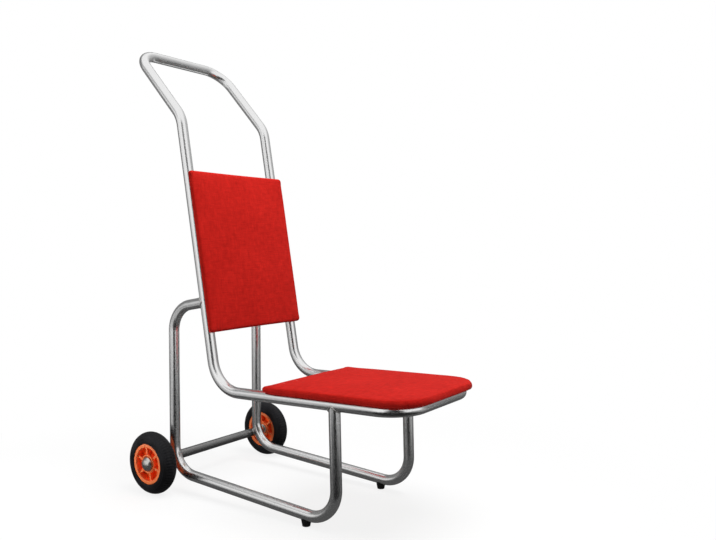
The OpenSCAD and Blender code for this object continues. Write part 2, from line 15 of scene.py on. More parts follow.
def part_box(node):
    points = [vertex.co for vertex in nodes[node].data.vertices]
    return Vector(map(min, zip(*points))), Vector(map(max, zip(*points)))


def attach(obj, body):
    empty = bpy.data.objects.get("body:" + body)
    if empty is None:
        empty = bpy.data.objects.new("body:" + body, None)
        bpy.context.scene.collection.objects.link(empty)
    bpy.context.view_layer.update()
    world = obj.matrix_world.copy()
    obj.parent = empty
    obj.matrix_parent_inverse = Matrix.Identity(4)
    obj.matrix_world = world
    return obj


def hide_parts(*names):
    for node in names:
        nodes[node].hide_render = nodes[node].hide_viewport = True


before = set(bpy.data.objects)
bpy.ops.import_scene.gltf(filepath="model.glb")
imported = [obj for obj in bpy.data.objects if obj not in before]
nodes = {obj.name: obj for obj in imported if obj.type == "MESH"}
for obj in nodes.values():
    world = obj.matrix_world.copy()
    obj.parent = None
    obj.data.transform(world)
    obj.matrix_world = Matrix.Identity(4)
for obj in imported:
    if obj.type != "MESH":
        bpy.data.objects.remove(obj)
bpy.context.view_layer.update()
scene = bpy.context.scene

# %% [markdown]
# ## The camera
# The trolley was photographed from its front right, a little above the seat, with a normal
# lens. The picture is 716 pixels wide, and the lens follows from the focal length in pixels
# that fits the straight tubes of the frame.

# %% Camera
PICTURE_W = 716
FOCAL_PIXELS = 732
SENSOR_W = 36
CAMERA_PLACE = (1.1262, -1.3519, 0.6116)
CAMERA_TILT, CAMERA_TURN = math.radians(87.73), math.radians(35.07)

camera = bpy.data.objects.new("camera", bpy.data.cameras.new("camera"))
camera.data.sensor_width = SENSOR_W
camera.data.lens = SENSOR_W * FOCAL_PIXELS / PICTURE_W
camera.location = CAMERA_PLACE
camera.rotation_euler = (CAMERA_TILT, 0, CAMERA_TURN)
scene.collection.objects.link(camera)
scene.camera = camera
print("lens:", round(camera.data.lens, 2), "mm")

# %% [markdown]
# ## Where the tubes run
# The tubes run in two side planes and straight across between them, and each bend has one
# radius, as on a pipe bender. So a tube is known from its corner points and radii. The rear
# leg gives the frame's place along X and the distance of the side planes, and the rest is
# measured from there. Tilts are in degrees, from the vertical or from the level.

# %% Corners of the frame
MM = 0.001
TUBE_R = 12.7 * MM
CROSS_R = 11.1 * MM
FRAME_BEND_R = 68 * MM
SEAT_TILT, BACK_TILT, ARM_TILT = 1.6, 10, 43
FLOOR_TILT, LEG_TILT = 3, 1.5
SEAT_AHEAD, SEAT_H = 147 * MM, 261 * MM
RAIL_L, RAIL_JOINT_AT = 515 * MM, 193 * MM
UPRIGHT_L, ARM_L = 659 * MM, 239 * MM
FRAME_H, FLOOR_RAIL_H, FLOOR_RAIL_L = 448 * MM, 46 * MM, 499 * MM


def leaning(degrees):
    """The way up, tipped back from the vertical by this angle."""
    return Vector((-math.sin(math.radians(degrees)), 0, math.cos(math.radians(degrees))))


leg_low, leg_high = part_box("side_frame_left")
rear_x = leg_low.x + TUBE_R
side_y = leg_high.y - TUBE_R
RAIL, RAIL_UP = leaning(SEAT_TILT - 90), leaning(SEAT_TILT)
UPRIGHT, BACK_OUT = leaning(BACK_TILT), leaning(BACK_TILT - 90)
ARM, FRONT_LEG = leaning(ARM_TILT), leaning(LEG_TILT)
FLOOR_RAIL = leaning(-90 - FLOOR_TILT)

seat_corner = Vector((rear_x + SEAT_AHEAD, 0, SEAT_H))
nose = seat_corner + RAIL_L * RAIL
rail_joint = seat_corner + RAIL_JOINT_AT * RAIL
elbow = seat_corner + UPRIGHT_L * UPRIGHT
handle = elbow + ARM_L * ARM
frame_top = Vector((rear_x, 0, FRAME_H))
rear_corner = Vector((rear_x, 0, FLOOR_RAIL_H))
front_corner = rear_corner + FLOOR_RAIL_L * FLOOR_RAIL
top_weld = frame_top + (seat_corner - frame_top).dot(BACK_OUT) * BACK_OUT
leg_rise = (seat_corner - front_corner).dot(RAIL_UP) / FRONT_LEG.dot(RAIL_UP)
front_weld = front_corner + leg_rise * FRONT_LEG
print("rear legs at x", round(rear_x, 4), "side planes at y", round(side_y, 4))

# %% [markdown]
# ## Shader maths in plain Python
# A material is a net of nodes. Writing `0.3 + 0.1 * noise` is easier to read than three
# nodes and their links, so a small class wraps a socket and turns operators into Math nodes.
# A second class holds one node tree and makes every other kind of node in one method.

# %% Sockets with operators
class Wire:
    """An output socket that can be used in a Python expression."""

    def __init__(self, tree, socket):
        self.tree, self.socket = tree, socket

    def math(self, operation, first, second=0.0):
        return self.tree.node("ShaderNodeMath", {"operation": operation}, {0: first, 1: second})

    def __add__(self, other):
        return self.math("ADD", self, other)

    def __radd__(self, other):
        return self.math("ADD", other, self)

    def __sub__(self, other):
        return self.math("SUBTRACT", self, other)

    def __rsub__(self, other):
        return self.math("SUBTRACT", other, self)

    def __mul__(self, other):
        return self.math("MULTIPLY", self, other)

    def __rmul__(self, other):
        return self.math("MULTIPLY", other, self)

    def sine(self):
        return self.math("SINE", self)

    def absolute(self):
        return self.math("ABSOLUTE", self)

    def sign(self):
        return self.math("SIGN", self)

    def length_with(self, other):
        return self.math("SQRT", self * self + other * other)

    def angle_with(self, other):
        return self.math("ARCTAN2", other, self)

    def clamped(self):
        return self.math("MINIMUM", self.math("MAXIMUM", self, 0.0), 1.0)


print("wire class ready")


# %% A node tree
class Tree:
    """A node tree, with one method for all nodes."""

    def __init__(self, node_tree):
        self.nodes, self.links = node_tree.nodes, node_tree.links

    def node(self, kind, settings=None, inputs=None, output=0):
        made = self.nodes.new(kind)
        for key, value in (settings or {}).items():
            if key == "stops":
                for stop, (place, shade) in zip(made.color_ramp.elements, value):
                    stop.position, stop.color = place, (shade, shade, shade, 1)
            else:
                setattr(made, key, value)
        for key, value in (inputs or {}).items():
            self.feed(made.inputs[key], value)
        return Wire(self, made.outputs[output])

    def feed(self, socket, value):
        if isinstance(value, Wire):
            self.links.new(value.socket, socket)
        else:
            socket.default_value = value


print("node tree class ready")

# %% [markdown]
# A finish is a material whose Principled shader gets its values by name. Patterns read Object
# coordinates, which are the trolley's own here because every object sits at the origin. Tubes
# and cloth carry an attribute instead, so that their pattern follows the surface.

# %% A finish
class Finish(Tree):
    """A material with a Principled shader, and helpers for what most finishes need."""

    def __init__(self, name):
        self.material = bpy.data.materials.new(name)
        self.material.use_nodes = True
        super().__init__(self.material.node_tree)
        self.surface = self.nodes["Principled BSDF"]

    def shade(self, **sockets):
        for key, value in sockets.items():
            self.feed(self.surface.inputs[key.replace("_", " ")], value)
        return self.material

    def place(self):
        return self.node("ShaderNodeTexCoord", output="Object")

    def own(self, attribute):
        return self.node("ShaderNodeAttribute", {"attribute_name": attribute}, output="Vector")

    def axis(self, vector, letter):
        return self.node("ShaderNodeSeparateXYZ", {}, {0: vector}, output=letter)

    def stretched(self, vector, scale):
        return self.node("ShaderNodeMapping", {}, {"Vector": vector, "Scale": scale})

    def noise(self, vector, scale, detail=3.0):
        inputs = {"Vector": vector, "Scale": scale, "Detail": detail}
        return self.node("ShaderNodeTexNoise", {}, inputs)

    def ramp(self, value, low, high):
        stops = [(low, 0.0), (high, 1.0)]
        return self.node("ShaderNodeValToRGB", {"stops": stops}, {"Fac": value})

    def mixed(self, share, first, second):
        settings = {"data_type": "RGBA", "clamp_factor": True}
        return self.node("ShaderNodeMix", settings, {0: share, 6: first, 7: second}, output=2)

    def bump(self, height, strength, distance):
        inputs = {"Strength": strength, "Distance": distance, "Height": height}
        return self.node("ShaderNodeBump", {}, inputs)


def grey(value):
    return (value, value, value, 1)


print("finish class ready")

# %% [markdown]
# ## Steel
# The frame is round tube with a satin finish. Drawing and polishing leave faint lines along
# its length, which widen its highlights, and handling leaves duller patches. A noise that is
# stretched along the tube gives the lines. Each tube piece stores where its points lay before
# it was bent, so the lines follow the bends.

# %% Satin steel of the tubes
GRAIN_BUMP, GRAIN_DEPTH = 0.07, 0.1 * MM


def satin_steel(name, attribute, stretch, dull, clean):
    steel = Finish(name)
    source = steel.own(attribute) if attribute else steel.place()
    lines = steel.noise(steel.stretched(source, stretch), 1.0, 4.0)
    patches = steel.noise(steel.place(), 17.0, 4.0)
    tone = steel.mixed(0.6 * lines + 0.4 * patches, grey(dull), grey(clean))
    return steel.shade(
        Base_Color=tone,
        Metallic=1.0,
        Roughness=0.17 + 0.07 * lines + 0.09 * patches,
        Normal=steel.bump(lines, GRAIN_BUMP, GRAIN_DEPTH),
    )


tube_steel = satin_steel("satin_tube_steel", "straight", (900, 900, 7), 0.76, 0.88)
cross_steel = satin_steel("drawn_cross_tube_steel", None, (900, 7, 900), 0.26, 0.36)
plate_steel = satin_steel("rolled_plate_steel", None, (120, 500, 500), 0.48, 0.60)
print("steel:", tube_steel.name, cross_steel.name, plate_steel.name)

# %% [markdown]
# Screws, washers and nuts are zinc plated: paler, with a fine cloudy crystal pattern and a
# slightly blue cast. The domed axle caps are bright plated, nearly a mirror, with small
# dull scuffs. Weld beads are duller than the tube and a little browned by the heat. These
# pieces are small, so a noise on Object coordinates is enough for each of them.

# %% Zinc, bright plate and weld metal
def zinc_plate():
    zinc = Finish("zinc_plate")
    clouds = zinc.noise(zinc.place(), 420.0, 5.0)
    tone = zinc.mixed(clouds, (0.50, 0.52, 0.55, 1), (0.70, 0.71, 0.72, 1))
    return zinc.shade(Base_Color=tone, Metallic=1.0, Roughness=0.24 + 0.2 * clouds)


def bright_plate():
    bright = Finish("bright_plate")
    scuffs = bright.noise(bright.place(), 260.0, 4.0)
    worn = bright.ramp(scuffs, 0.55, 0.75)
    tone = bright.mixed(worn, (0.62, 0.60, 0.57, 1), (0.42, 0.39, 0.35, 1))
    return bright.shade(Base_Color=tone, Metallic=1.0, Roughness=0.26 + 0.16 * worn)


def weld_metal():
    weld = Finish("weld_metal")
    heat = weld.noise(weld.place(), 150.0, 4.0)
    tone = weld.mixed(heat, (0.50, 0.48, 0.46, 1), (0.66, 0.65, 0.64, 1))
    grain = weld.noise(weld.place(), 900.0, 3.0)
    normal = weld.bump(grain, 0.3, 0.0002)
    return weld.shade(Base_Color=tone, Metallic=1.0, Roughness=0.28 + 0.16 * heat, Normal=normal)


zinc, bright, weld_finish = zinc_plate(), bright_plate(), weld_metal()
print("metals:", zinc.name, bright.name, weld_finish.name)

# %% [markdown]
# ## Rubber, plastic, nylon and plywood
# The tyres are black rubber with a dusty bloom, a raised ring on each wall and a fine block
# tread. Cut blocks would need thousands of faces for half a millimetre, so a bump gives them
# from the angle round the axle, and the blocks are paler than the grooves. The hubs are
# glossy orange plastic. Their raised edges are painted paler as painted light, and the
# pockets between the ribs a deeper orange as painted shade, so the colour follows the
# distance from the middle plane of the wheel. The bushes are milky nylon. The boards under
# the pads are plywood, with grain along the pad.

# %% Rubber of the feet
RUBBER_GLOSS = 0.25


def rubber_tone(black, paler_share, dark, pale):
    bloom = black.noise(black.place(), 30.0, 5.0)
    return black.mixed(black.ramp(bloom, 0.35, 0.75) + paler_share, dark, pale), bloom


def rubber(black, tone, roughness, normal):
    return black.shade(
        Base_Color=tone,
        Roughness=roughness,
        Normal=normal,
        Specular_IOR_Level=RUBBER_GLOSS,
    )


def foot_finish():
    black = Finish("foot_rubber")
    tone, bloom = rubber_tone(black, 0.0, grey(0.010), grey(0.022))
    normal = black.bump(black.noise(black.place(), 1500.0, 2.0), 0.15, 0.0002)
    return rubber(black, tone, 0.5 + 0.16 * bloom, normal)


foot_rubber = foot_finish()
print("rubber:", foot_rubber.name)

# %% Rubber of the tyres
hub_low, hub_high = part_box("hub_left")
hub_y = (hub_low.y + hub_high.y) / 2
hub_x, hub_z = (hub_low.x + hub_high.x) / 2, (hub_low.z + hub_high.z) / 2
TREAD_BLOCKS = 66
TREAD_R, TREAD_EDGE, GROOVE_W = 67 * MM, 2 * MM, 1 * MM
RING_R, RING_W = 61.5 * MM, 1.1 * MM
TYRE_BLACK, TYRE_DUST = (0.0035, 0.0035, 0.0045, 1), (0.015, 0.015, 0.018, 1)


def tyre_finish():
    black = Finish("tyre_rubber")
    x, y, z = (black.axis(black.place(), letter) for letter in "XYZ")
    along, up, across = x - hub_x, z - hub_z, y.absolute() - hub_y
    radius = along.length_with(up)
    tread = black.node("ShaderNodeMapRange", {"interpolation_type": "SMOOTHSTEP"},
                       {"Value": radius, "From Min": TREAD_R, "From Max": TREAD_R + TREAD_EDGE})
    turns = TREAD_BLOCKS * along.angle_with(up) + 0.5 * math.pi * across.sign()
    block = tread * (0.5 + 1.5 * turns.sine()).clamped()
    groove = 1.0 - (across.absolute() * (1 / GROOVE_W) - 0.5).clamped()
    off_ring = (radius - RING_R) * (1 / RING_W)
    ring = (1.0 - off_ring * off_ring).clamped()
    height = 0.7 * block + ring - 0.7 * tread * groove
    # The tread blocks are made paler than the grooves.
    tone, bloom = rubber_tone(black, 0.5 * block - 0.1, TYRE_BLACK, TYRE_DUST)
    normal = black.bump(height, 0.8, 0.0009)
    return rubber(black, tone, 0.4 + 0.16 * bloom, normal)


tyre_rubber = tyre_finish()
print("rubber:", tyre_rubber.name, "with", TREAD_BLOCKS, "blocks")

# %% Plastic, nylon and plywood
POCKET_DEPTH, EDGE_DEPTH = 3 * MM, 14 * MM
PAINTED_LIGHT_WAVER = 3 * MM
# The deeper orange is painted shade in the pockets, the paler one painted light on raised edges.
HUB_PAINTED_SHADE, HUB_PAINTED_LIGHT = (1.0, 0.12, 0.006, 1), (1.0, 0.22, 0.06, 1)


def orange_plastic():
    orange = Finish("orange_plastic")
    clouds = orange.noise(orange.place(), 90.0, 3.0)
    across = orange.axis(orange.place(), "Y")
    # Painted light and shade: raised rim and ribs get the paler orange, recessed pockets the
    # deeper.
    depth = (across.absolute() - hub_y).absolute() + PAINTED_LIGHT_WAVER * clouds
    raised = orange.node("ShaderNodeMapRange", {}, {
        "Value": depth, "From Min": POCKET_DEPTH, "From Max": EDGE_DEPTH})
    tone = orange.mixed(raised, HUB_PAINTED_SHADE, HUB_PAINTED_LIGHT)
    skin = orange.noise(orange.place(), 700.0, 2.0)
    normal = orange.bump(skin, 0.08, 0.0002)
    return orange.shade(Base_Color=tone, Roughness=0.3 + 0.12 * clouds, Normal=normal)


def nylon():
    milky = Finish("milky_nylon")
    clouds = milky.noise(milky.place(), 200.0, 3.0)
    tone = milky.mixed(clouds, (0.62, 0.60, 0.53, 1), (0.72, 0.70, 0.64, 1))
    return milky.shade(Base_Color=tone, Roughness=0.38 + 0.1 * clouds)


def plywood():
    wood = Finish("birch_plywood")
    streaks = wood.noise(wood.stretched(wood.place(), (9, 160, 9)), 1.0, 6.0)
    pores = wood.noise(wood.stretched(wood.place(), (60, 900, 60)), 1.0, 3.0)
    share = wood.ramp(0.7 * streaks + 0.3 * pores, 0.3, 0.7)
    tone = wood.mixed(share, (0.44, 0.27, 0.12, 1), (0.66, 0.46, 0.25, 1))
    normal = wood.bump(pores, 0.2, 0.0003)
    return wood.shade(Base_Color=tone, Roughness=0.58 + 0.12 * pores, Normal=normal)


hub_plastic, bush_nylon, board_wood = orange_plastic(), nylon(), plywood()
print("plastic and wood:", hub_plastic.name, bush_nylon.name, board_wood.name)

# %% [markdown]
# ## Red fabric
# The pads are covered with a plain woven red fabric. Its threads are a millimetre and a half
# apart, so from a few steps away it only looks faintly mottled. Two crossed sine waves make
# the weave, and stretched noises make its thicker threads. The cover stores a flat cloth
# coordinate, which makes the threads run on round the edges of the pad.

# %% Woven fabric
THREAD = 1.5 * MM
DEEP_RED, BRIGHT_RED = (0.40, 0.0055, 0.004, 1), (0.90, 0.029, 0.02, 1)
SHADE_SHIFT = 0.69


def woven_red():
    cloth = Finish("woven_red_fabric")
    flat = cloth.own("cloth")
    waver = cloth.noise(flat, 60.0, 2.0)
    along, across = cloth.axis(flat, "X"), cloth.axis(flat, "Y")
    turns = 2 * math.pi / THREAD
    warp = (along * turns + 3.0 * waver).sine()
    weft = (across * turns + 3.0 * waver).sine()
    weave = 0.5 + 0.5 * warp * weft
    fleck = cloth.noise(cloth.stretched(flat, (420, 300, 1)), 1.0, 4.0)
    blotch = cloth.noise(flat, 75.0, 3.0)
    clouds = cloth.noise(flat, 9.0, 3.0)
    warp_slub = cloth.noise(cloth.stretched(flat, (380, 30, 1)), 1.0, 2.0)
    weft_slub = cloth.noise(cloth.stretched(flat, (30, 380, 1)), 1.0, 2.0)
    threads = 0.2 * weave + 0.3 * fleck + 0.5 * (warp_slub + weft_slub)
    share = threads + 0.5 * blotch + 0.4 * clouds - SHADE_SHIFT
    tone = cloth.mixed(share, DEEP_RED, BRIGHT_RED)
    height = 0.75 * weave + 0.25 * fleck
    return cloth.shade(
        Base_Color=tone,
        Roughness=0.8 + 0.12 * fleck,
        Normal=cloth.bump(height, 0.45, 0.0003),
        Specular_IOR_Level=0.12,
        Sheen_Weight=0.04,
        Sheen_Roughness=0.45,
        Sheen_Tint=(1.0, 0.42, 0.36, 1),
    )


fabric = woven_red()
print("fabric:", fabric.name)

# %% [markdown]
# ## Finishes for the CAD pieces
# A CAD piece whose shape is right keeps its mesh and only gets a better material. The tubes
# and the soft parts of the pads are replaced further down.

# %% Dress the CAD nodes
FINISH_OF = {
    "hoop_spigots": plate_steel, "cross_tube": cross_steel, "axle_rod": zinc,
    "axle_plugs": zinc, "wheel_spacers": zinc, "axle_washers": zinc, "axle_caps": bright,
    "tyre_left": tyre_rubber, "tyre_right": tyre_rubber,
    "hub_left": hub_plastic, "hub_right": hub_plastic,
    "bushes_left": bush_nylon, "bushes_right": bush_nylon,
    "foot_left": foot_rubber, "foot_right": foot_rubber, "foot_screws": zinc,
    "seat_board": board_wood, "back_board": board_wood,
    "seat_tabs": plate_steel, "back_tabs": plate_steel,
    "seat_screws": zinc, "back_screws": zinc, "seat_tee_nuts": zinc, "back_tee_nuts": zinc,
}
for name, finish in FINISH_OF.items():
    nodes[name].data.materials.clear()
    nodes[name].data.materials.append(finish)
print("dressed:", len(FINISH_OF), "nodes")

# %% [markdown]
# ## Bending the tubes
# A pipe bender feeds a straight length, then turns the tube about a round former. The mesh
# is made in the same way: a ring of vertices is extruded along each straight and spun round
# each bend. A curve with a bevel would also give the shape, but here every ring also notes
# how far along the tube it lies, which the drawn lines of the steel need.

# %% Feed and turn
RING_POINTS = 40
TURN_STEP = math.radians(5)


def joining_edges(verts):
    """The edges that join these vertices to one another."""
    kept = set(verts)
    edges = dict.fromkeys(edge for vert in verts for edge in vert.link_edges)
    return [edge for edge in edges if kept.issuperset(edge.verts)]


def only_verts(geometry):
    return [item for item in geometry if isinstance(item, bmesh.types.BMVert)]


def fed(bm, ring, way, layer):
    """Extrudes the open end of the tube along a straight line."""
    ring = only_verts(bmesh.ops.extrude_edge_only(bm, edges=joining_edges(ring))["geom"])
    bmesh.ops.translate(bm, verts=ring, vec=way)
    for vert in ring:
        vert[layer] = vert[layer] + Vector((0, 0, way.length))
    return ring


def turned(bm, ring, centre, axis, angle, layer, bend_r):
    """Spins the open end of the tube round a bend, a few degrees at a time."""
    steps = math.ceil(angle / TURN_STEP)
    for _ in range(steps):
        spun = bmesh.ops.spin(bm, geom=ring + joining_edges(ring), cent=centre, axis=axis,
                              angle=angle / steps, steps=1)
        ring = only_verts(spun["geom_last"])
        for vert in ring:
            vert[layer] = vert[layer] + Vector((0, 0, bend_r * angle / steps))
    return ring


print("tube bender ready,", RING_POINTS, "points a ring")

# %% From a bmesh to a piece
def mesh_of(name, bm):
    mesh = bpy.data.meshes.new(name)
    bm.to_mesh(mesh)
    bm.free()
    return mesh


def object_of(name, mesh):
    made = bpy.data.objects.new(name, mesh)
    scene.collection.objects.link(made)
    return made


def new_piece(name, bm, finish):
    """Makes an object of a bmesh, at the origin, riding on the frame."""
    for face in bm.faces:
        face.smooth = True
    mesh = mesh_of(name, bm)
    mesh.materials.append(finish)
    piece = object_of(name, mesh)
    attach(piece, "frame")
    print(name, len(mesh.polygons), "faces")
    return piece


print("piece maker ready")


# %% One tube through its corners
def bent_tube(name, corners, bends):
    bm = bmesh.new()
    layer = bm.verts.layers.float_vector.new("straight")
    ring = bmesh.ops.create_circle(bm, segments=RING_POINTS, radius=TUBE_R)["verts"]
    for vert in ring:
        vert[layer] = vert.co
    ways = [(b - a).normalized() for a, b in zip(corners, corners[1:])]
    turn = ways[0].to_track_quat("Z", "X").to_matrix().to_4x4()
    bmesh.ops.transform(bm, matrix=Matrix.Translation(corners[0]) @ turn, verts=ring)
    ends, here = [ring], corners[0]
    for corner, into, out, bend_r in zip(corners[1:], ways, ways[1:], bends):
        angle = into.angle(out)
        setback = bend_r * math.tan(angle / 2)
        start = corner - setback * into
        axis = into.cross(out).normalized()
        ring = fed(bm, ring, start - here, layer)
        ring = turned(bm, ring, start + bend_r * axis.cross(into), axis, angle, layer, bend_r)
        here = corner + setback * out
    ends.append(fed(bm, ring, corners[-1] - here, layer))
    for end in ends:
        rim = joining_edges(end)
        bmesh.ops.contextual_create(bm, geom=rim)
        for edge in rim:
            edge.smooth = False
    bmesh.ops.recalc_face_normals(bm, faces=bm.faces)
    return new_piece(name, bm, tube_steel)


def at_side(point, side):
    return point + Vector((0, side * side_y, 0))


print("tube maker ready")

# %% [markdown]
# The chair hoop is made of two bent tubes that meet in the seat rails: one goes up both
# uprights and round the handle, the other round the front of the seat. Each side frame is
# one tube as well. Its ends run on into the hoop, where the weld covers the cut.

# %% Chair hoop and side frames
BACK_BENDS = [80 * MM, 70 * MM, 60 * MM]
NOSE_R = 70 * MM
JOINT_GAP = 0.2 * MM

rising = [rail_joint, seat_corner, elbow, handle]
back_path = [at_side(p, -1) for p in rising] + [at_side(p, 1) for p in reversed(rising)]
back_hoop = bent_tube("back_hoop_tube", back_path, BACK_BENDS + BACK_BENDS[::-1])
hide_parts("back_hoop")

seat_start = rail_joint + JOINT_GAP * RAIL
seat_path = [at_side(seat_start, -1), at_side(nose, -1), at_side(nose, 1), at_side(seat_start, 1)]
seat_hoop = bent_tube("seat_hoop_tube", seat_path, [NOSE_R, NOSE_R])
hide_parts("seat_hoop")

for side, word in ((1, "left"), (-1, "right")):
    path = [at_side(p, side) for p in (top_weld, frame_top, rear_corner, front_corner, front_weld)]
    side_frame = bent_tube(f"side_frame_{word}_tube", path, [FRAME_BEND_R] * 3)
    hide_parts(f"side_frame_{word}")

# %% [markdown]
# ## Weld beads
# The tube ends are coped to the round of the tube they meet and welded all round. The bead
# lies on the line where two cylinders cross, so its points are found from that line. A
# curve with a round bevel follows it, and its radius pulses like the ripples of a weld.

# %% Beads along a line
BEAD_R = 1.7 * MM
BEAD_RIPPLE = 0.13
BEAD_END = 0.35
BEAD_ROUNDING = 3
RIPPLE_POINTS = 4
MERGE = 0.01 * MM


def bead_mesh(points, closed, radius):
    """A rippled bead along a line of points, as a mesh."""
    curve = bpy.data.curves.new("bead", "CURVE")
    curve.dimensions = "3D"
    curve.bevel_depth = radius
    curve.bevel_resolution = BEAD_ROUNDING
    curve.use_fill_caps = not closed
    line = curve.splines.new("POLY")
    line.points.add(len(points) - 1)
    line.use_cyclic_u = closed
    for i, (knot, point) in enumerate(zip(line.points, points)):
        knot.co = (*point, 1)
        knot.radius = 1 + BEAD_RIPPLE * math.cos(2 * math.pi * i / RIPPLE_POINTS)
        if not closed:
            swell = math.sqrt(math.sin(math.pi * (i + 0.5) / len(points)))
            knot.radius *= BEAD_END + (1 - BEAD_END) * swell
    carrier = bpy.data.objects.new("bead", curve)
    mesh = bpy.data.meshes.new_from_object(carrier)
    bpy.data.objects.remove(carrier)
    bpy.data.curves.remove(curve)
    return mesh


def joined_beads(name, lines):
    """All beads of one piece, each given by its points, whether it closes, and its radius."""
    bm = bmesh.new()
    for points, closed, radius in lines:
        mesh = bead_mesh(points, closed, radius)
        bm.from_mesh(mesh)
        bpy.data.meshes.remove(mesh)
    bmesh.ops.remove_doubles(bm, verts=bm.verts, dist=MERGE)
    bmesh.ops.recalc_face_normals(bm, faces=bm.faces)
    new_piece(name, bm, weld_finish)


print("weld bead ready, radius", BEAD_R)

# %% Lines where tubes meet
SADDLE_POINTS = 96
SADDLE_LIFT = 0.35
CONTACT_R = 8 * MM
CONTACT_POINTS = 64
ACROSS = Vector((0, 1, 0))


def saddle_line(corner, way, along):
    """Where a tube that comes in along way meets the surface of a tube along another line."""
    points = []
    reach = TUBE_R + SADDLE_LIFT * BEAD_R
    for i in range(SADDLE_POINTS):
        angle = 2 * math.pi * i / SADDLE_POINTS
        spoke = reach * (math.cos(angle) * ACROSS + math.sin(angle) * way.cross(ACROSS))
        flat_spoke, flat_way = (v - v.dot(along) * along for v in (spoke, way))
        dot, square = flat_spoke.dot(flat_way), flat_way.length_squared
        root = dot * dot - square * (flat_spoke.length_squared - reach * reach)
        points.append(corner + spoke - way * ((dot + math.sqrt(max(0, root))) / square))
    return points


def contact_line(point, out, tangent):
    """A ring round the spot where the cross tube touches the back of a bend."""
    points = []
    bend_back_r = FRAME_BEND_R + TUBE_R
    for i in range(CONTACT_POINTS):
        angle = 2 * math.pi * i / CONTACT_POINTS
        a, b = CONTACT_R * math.cos(angle), CONTACT_R * math.sin(angle)
        cross_gap = a * a / (2 * CROSS_R)
        bend_gap = b * b / (2 * TUBE_R) + a * a / (2 * bend_back_r)
        points.append(point + a * tangent + b * ACROSS + (cross_gap - bend_gap) / 2 * out)
    return points


print("saddle lines of", SADDLE_POINTS, "points")

# %% Beads of the frame
cross_low, cross_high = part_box("cross_tube")
axle = Vector(((cross_low.x + cross_high.x) / 2, 0, (cross_low.z + cross_high.z) / 2))
bend_angle = math.radians(FLOOR_TILT)
bend_rise = FRAME_BEND_R / math.cos(bend_angle) - FRAME_BEND_R * math.tan(bend_angle)
bend_centre = rear_corner + Vector((FRAME_BEND_R, 0, bend_rise))
out = (axle - bend_centre).normalized()
contact = bend_centre + (FRAME_BEND_R + TUBE_R) * out
frame_beads = []
for side in (-1, 1):
    frame_beads += [
        (saddle_line(at_side(top_weld, side), BACK_OUT, UPRIGHT), True, BEAD_R),
        (saddle_line(at_side(front_weld, side), FRONT_LEG, RAIL), True, BEAD_R),
        (contact_line(at_side(contact, side), out, out.cross(ACROSS)), True, BEAD_R),
    ]
joined_beads("frame_welds", frame_beads)

# %% [markdown]
# ## Frames of the two pads
# Each pad is modelled flat, in its own frame: x runs along the tubes that carry it, y across
# and z away from them, with the underside at zero. A matrix then takes it to its place.

# %% Pad frames
PAD_L, PAD_W = 388 * MM, 326 * MM
PAD_GAP = 0.3 * MM
PAD_BASE = TUBE_R + PAD_GAP
PAD_EDGE_H = 13 * MM
PAD_CORNER_R = 9 * MM
SEAT_FRONT_R = 84 * MM
SEAT_START, BACK_START = 153 * MM, 135 * MM


def pad_frame(along, away, start):
    across = away.cross(along)
    turn = Matrix((along, across, away)).transposed().to_4x4()
    return Matrix.Translation(seat_corner + start * along + PAD_BASE * away) @ turn


seat_frame = pad_frame(RAIL, RAIL_UP, SEAT_START)
back_frame = pad_frame(UPRIGHT, BACK_OUT, BACK_START)
print("seat pad at", tuple(round(v, 3) for v in seat_frame.translation))

# %% [markdown]
# ## Padded covers
# A pad is a board with thin foam, and fabric pulled tight over both and stapled below. Real
# fabric bulges a little where the foam pushes and draws in along straight sides. So a slab
# that is slightly small is remeshed into even quads and blown up by a short cloth
# simulation with its underside held. The cap on the movement keeps the pad to its size. A
# sculpted slab would be quicker, but the simulation gives the bulge of tight fabric.

# %% The slab before it is filled
SLACK = 0.2 * MM
VOXEL = 3.8 * MM
DRAW_IN = 0.7 * MM
DRAW_POWER = 5
ROLL_R = 8 * MM
HEM_ROLL_R = 4 * MM
FRONT_STEPS, CORNER_STEPS, ROLL_STEPS, HEM_STEPS = 10, 6, 4, 2


def stands_up(a, b):
    """Whether an edge with these ends is one of the pad's four upright ones."""
    return abs(a.z - b.z) > PAD_EDGE_H / 2


def round_edges(bm, radius, segments, wanted):
    edges = [edge for edge in bm.edges if wanted(*(vert.co for vert in edge.verts))]
    bmesh.ops.bevel(bm, geom=edges, offset=radius, offset_type="OFFSET", affect="EDGES",
                    segments=segments, profile=0.5, material=-1)


def slab(front_r):
    """The plain pad, with its corners and edges rounded, in its own frame."""
    bm = bmesh.new()
    bmesh.ops.create_cube(bm, size=1)
    bmesh.ops.translate(bm, verts=bm.verts, vec=(0.5, 0, 0.5))
    size = (PAD_L - 2 * SLACK, PAD_W - 2 * SLACK, PAD_EDGE_H - SLACK)
    bmesh.ops.scale(bm, verts=bm.verts, vec=size)
    bmesh.ops.translate(bm, verts=bm.verts, vec=(SLACK, 0, 0))
    middle, half_up = PAD_L / 2, PAD_EDGE_H / 2
    round_edges(bm, front_r, FRONT_STEPS, lambda a, b: stands_up(a, b) and a.x > middle)
    round_edges(bm, PAD_CORNER_R, CORNER_STEPS,
                lambda a, b: stands_up(a, b) and max(a.x, b.x) < PAD_CORNER_R)
    round_edges(bm, ROLL_R, ROLL_STEPS, lambda a, b: min(a.z, b.z) > half_up)
    round_edges(bm, HEM_ROLL_R, HEM_STEPS, lambda a, b: max(a.z, b.z) < MM)
    return mesh_of("slab", bm)


print("slab of", round(PAD_L, 3), "by", round(PAD_W, 3))

# %% Even quads with drawn-in sides
def evaluated_mesh(made):
    """The mesh of an object as its modifiers leave it."""
    graph = bpy.context.evaluated_depsgraph_get()
    return bpy.data.meshes.new_from_object(made.evaluated_get(graph))


